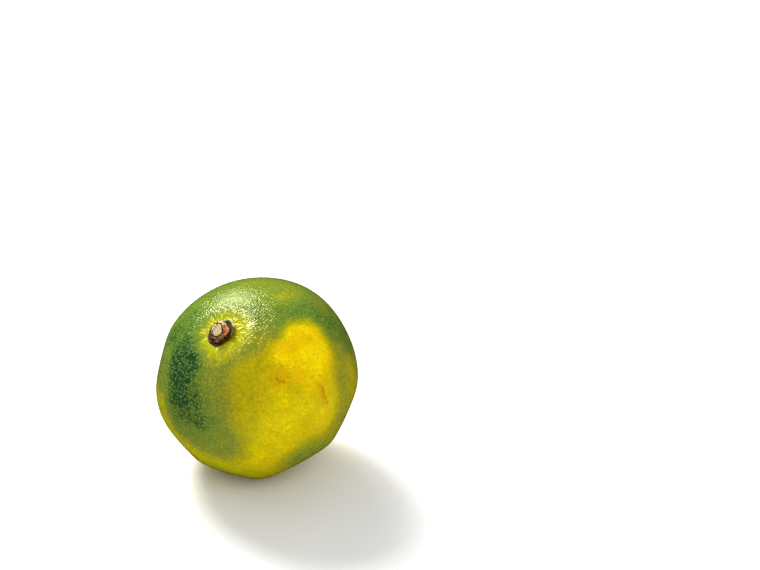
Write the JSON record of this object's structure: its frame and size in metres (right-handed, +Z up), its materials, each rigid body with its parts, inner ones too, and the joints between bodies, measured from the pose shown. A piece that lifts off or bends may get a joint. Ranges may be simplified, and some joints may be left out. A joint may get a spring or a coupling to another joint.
{
  "type": "satsuma mandarin",
  "caption": "Whole early-season satsuma mandarin, oblate and a little lopsided, lying on a small flat spot with its dry star-shaped calyx and a cut stub of stem.",
  "frame": {"origin": "middle of the flat spot on the underside that the fruit rests on", "axes": "+Z up as the fruit rests, which is out of the flat spot and into the fruit; the stem end points up, to -X and to -Y, 32 degrees off +Z"},
  "size_m": [0.0637, 0.0635, 0.0601],
  "materials": {
    "peel": "satin",
    "dry_calyx": "matte",
    "cut_stem": "matte"
  },
  "bodies": {
    "root": {"fruit": "peel", "calyx": "dry_calyx", "stem_stub": "cut_stem"}
  },
  "joints": []
}
